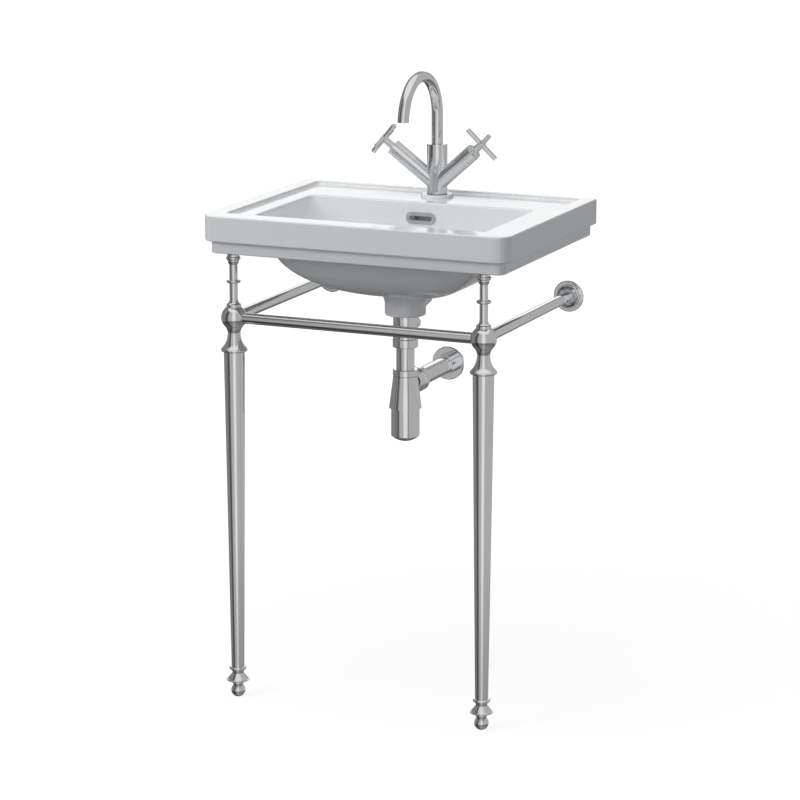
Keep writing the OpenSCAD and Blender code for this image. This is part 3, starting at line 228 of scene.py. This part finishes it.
# The dome is dimmer low down; heights are shares of the dome's height
height = add_node(tree, "ShaderNodeMath", operation="MULTIPLY_ADD")
height.inputs[1].default_value = 1 / (2 * card_radius)
height.inputs[2].default_value = 0.5
join(tree, split, 2, height, 0)
low_ramp = add_node(tree, "ShaderNodeValToRGB")
join(tree, height, 0, low_ramp, 0)
set_ramp(low_ramp, [(0.00, (0.6, 0.6, 0.6)), (0.25, (0.3, 0.3, 0.3)), (0.33, (1, 1, 1)), (1.00, (1, 1, 1))])
top_share = add_node(tree, "ShaderNodeMapRange")
top_share.inputs["From Min"].default_value = 0.84
top_share.inputs["From Max"].default_value = 0.92
join(tree, height, 0, top_share, 0)
# A thin pale card low at the back, which the basin's deck shows at a flat angle
back_ramp = add_node(tree, "ShaderNodeValToRGB")
join(tree, half_turn, 0, back_ramp, 0)
set_ramp(back_ramp, [(0.00, (1, 1, 1)), (0.04, (1, 1, 1)), (0.06, (0, 0, 0)), (0.94, (0, 0, 0)),
                     (0.96, (1, 1, 1)), (1.00, (1, 1, 1))])
card_ramp = add_node(tree, "ShaderNodeValToRGB")
join(tree, height, 0, card_ramp, 0)
set_ramp(card_ramp, [(0.00, (0, 0, 0)), (0.54, (0, 0, 0)), (0.56, (1, 1, 1)), (0.68, (1, 1, 1)),
                     (0.71, (0, 0, 0)), (1.00, (0, 0, 0))])
card_share = add_node(tree, "ShaderNodeMix", data_type="RGBA", blend_type="MULTIPLY")
card_share.inputs["Factor"].default_value = 1
join(tree, back_ramp, 0, card_share, 6)
join(tree, card_ramp, 0, card_share, 7)
dim = add_node(tree, "ShaderNodeMix", data_type="RGBA", blend_type="MULTIPLY")
dim.inputs["Factor"].default_value = 1
join(tree, round_ramp, 0, dim, 6)
join(tree, low_ramp, 0, dim, 7)
pale = add_node(tree, "ShaderNodeMix", data_type="RGBA")
pale.inputs[7].default_value = (1.2, 1.2, 1.2, 1)
join(tree, card_share, 2, pale, 0)
join(tree, dim, 2, pale, 6)
lift = add_node(tree, "ShaderNodeMix", data_type="RGBA")
lift.inputs[7].default_value = (0.92, 0.93, 0.95, 1)
join(tree, top_share, 0, lift, 0)
join(tree, pale, 2, lift, 6)
glow = add_node(tree, "ShaderNodeEmission")
out = add_node(tree, "ShaderNodeOutputMaterial")
join(tree, lift, 2, glow, 0)
join(tree, glow, 0, out, 0)
card_mesh.materials.append(card_finish)
card_dome.visible_camera = False
card_dome.visible_diffuse = False
card_dome.visible_shadow = False
card_dome.visible_transmission = False

# Basin: white vitreous china, slip-cast and fired, with a clear glaze that is a
# touch uneven. Bolted to the wall at the back.


def dress(material, *names):
    for name in names:
        for slot in nodes[name].material_slots:
            slot.material = material


def principled(tree):
    shader = add_node(tree, "ShaderNodeBsdfPrincipled")
    output = add_node(tree, "ShaderNodeOutputMaterial")
    join(tree, shader, 0, output, 0)
    return shader


def noise_of(tree, scale, detail=3.0):
    place = add_node(tree, "ShaderNodeTexCoord")
    noise = add_node(tree, "ShaderNodeTexNoise")
    noise.inputs["Scale"].default_value = scale
    noise.inputs["Detail"].default_value = detail
    join(tree, place, "Object", noise, "Vector")
    return noise


def spread(tree, noise, low, high):
    reach = add_node(tree, "ShaderNodeMapRange")
    reach.inputs["To Min"].default_value = low
    reach.inputs["To Max"].default_value = high
    join(tree, noise, 0, reach, 0)
    return reach


def bumped(tree, shader, noise, depth, strength):
    bump = add_node(tree, "ShaderNodeBump")
    bump.inputs["Strength"].default_value = strength
    bump.inputs["Distance"].default_value = depth
    join(tree, noise, 0, bump, "Height")
    join(tree, bump, 0, shader, "Normal")


glaze, tree = new_material("white glaze")
shader = principled(tree)
body_noise = noise_of(tree, 6)
body_tone = add_node(tree, "ShaderNodeMix", data_type="RGBA")
body_tone.inputs[6].default_value = (0.86, 0.875, 0.885, 1)
body_tone.inputs[7].default_value = (0.88, 0.89, 0.90, 1)
join(tree, body_noise, 0, body_tone, 0)
join(tree, body_tone, 2, shader, "Base Color")
glaze_noise = noise_of(tree, 14, 2.0)
glaze_rough = spread(tree, glaze_noise, 0.07, 0.14)
join(tree, glaze_rough, 0, shader, "Roughness")
shader.inputs["Coat Weight"].default_value = 0.35
shader.inputs["Coat Roughness"].default_value = 0.04
bumped(tree, shader, glaze_noise, 0.0004, 0.25)
dress(glaze, "basin")

# Chrome: polished brass under a bright plate, on the stand, the tap, the waste
# and the trap. It is mirror-smooth, with faint waves from the polishing wheel.
chrome, tree = new_material("polished chrome")
shader = principled(tree)
shader.inputs["Metallic"].default_value = 1.0
plate_noise = noise_of(tree, 30, 2.0)
plate_tone = add_node(tree, "ShaderNodeMix", data_type="RGBA")
plate_tone.inputs[6].default_value = (0.75, 0.755, 0.765, 1)
plate_tone.inputs[7].default_value = (0.79, 0.795, 0.80, 1)
join(tree, plate_noise, 0, plate_tone, 0)
join(tree, plate_tone, 2, shader, "Base Color")
polish = spread(tree, noise_of(tree, 45, 2.0), 0.03, 0.06)
join(tree, polish, 0, shader, "Roughness")
bumped(tree, shader, noise_of(tree, 25, 1.0), 0.00004, 0.10)
dress(chrome, "overflow_trim", "waste_body", "waste_plug", "port_nut", "tap_body", "spout",
      "left_valve", "right_valve", "left_handle", "right_handle", "tail_nut", "dip_pipe", "ring_nut",
      "trap_head", "trap_cup", "outlet_nut", "outlet_pipe", "outlet_flange", "left_pillar",
      "right_pillar", "left_knot", "right_knot", "left_leg", "right_leg", "ankles", "left_foot",
      "right_foot", "front_rail", "side_rails", "left_wall_flange", "right_wall_flange")

# Plain brass of the hidden nuts, the fixing stud and the plug's latch, as machined.


def mottled(name, metallic, tone_scale, tone_detail, dark, pale, smooth, rough):
    material, tree = new_material(name)
    shader = principled(tree)
    shader.inputs["Metallic"].default_value = metallic
    noise = noise_of(tree, tone_scale, tone_detail)
    tone = add_node(tree, "ShaderNodeMix", data_type="RGBA")
    tone.inputs[6].default_value = (*dark, 1)
    tone.inputs[7].default_value = (*pale, 1)
    join(tree, noise, 0, tone, 0)
    join(tree, tone, 2, shader, "Base Color")
    join(tree, spread(tree, noise, smooth, rough), 0, shader, "Roughness")
    return material, tree, shader


tool_mark_depth = 0.0001
tool_mark_strength = 0.2
brass_dark = (0.62, 0.47, 0.22)
brass_pale = (0.72, 0.57, 0.30)
brass, tree, shader = mottled("machined brass", 1.0, 40, 3.0, brass_dark, brass_pale, 0.22, 0.38)
bumped(tree, shader, noise_of(tree, 300, 2.0), tool_mark_depth, tool_mark_strength)
dress(brass, "back_nut", "plug_latch", "fixing_stud", "stud_nut")

# Plain steel of the studs, grub screws, spindles, washers and wall brackets.
steel_dark = (0.46, 0.47, 0.48)
steel_pale = (0.58, 0.59, 0.60)
steel, tree, shader = mottled("plain steel", 1.0, 50, 3.0, steel_dark, steel_pale, 0.25, 0.42)
bumped(tree, shader, noise_of(tree, 260, 2.0), tool_mark_depth, tool_mark_strength)
dress(steel, "steel_horseshoe", "aerator", "spout_stop", "left_spindle", "right_spindle",
      "left_handle_screw", "right_handle_screw", "knot_screws", "leg_studs", "wall_brackets")

# Black moulded rubber of the seals, washers and pads.
rubber_grain = 90
rubber_detail = 4.0
rubber_dark = (0.018, 0.018, 0.020)
rubber_pale = (0.035, 0.035, 0.038)
rubber, tree, shader = mottled("black rubber", 0.0, rubber_grain, rubber_detail, rubber_dark,
                               rubber_pale, 0.6, 0.8)
bumped(tree, shader, noise_of(tree, rubber_grain, rubber_detail), 0.0002, 0.3)
dress(rubber, "flange_seal", "cone_seal", "plug_seal", "port_seal", "base_gasket", "rubber_horseshoe",
      "spout_seals", "trap_washers", "cup_seal", "basin_pads")

scene = bpy.context.scene
scene.view_settings.view_transform = "Standard"
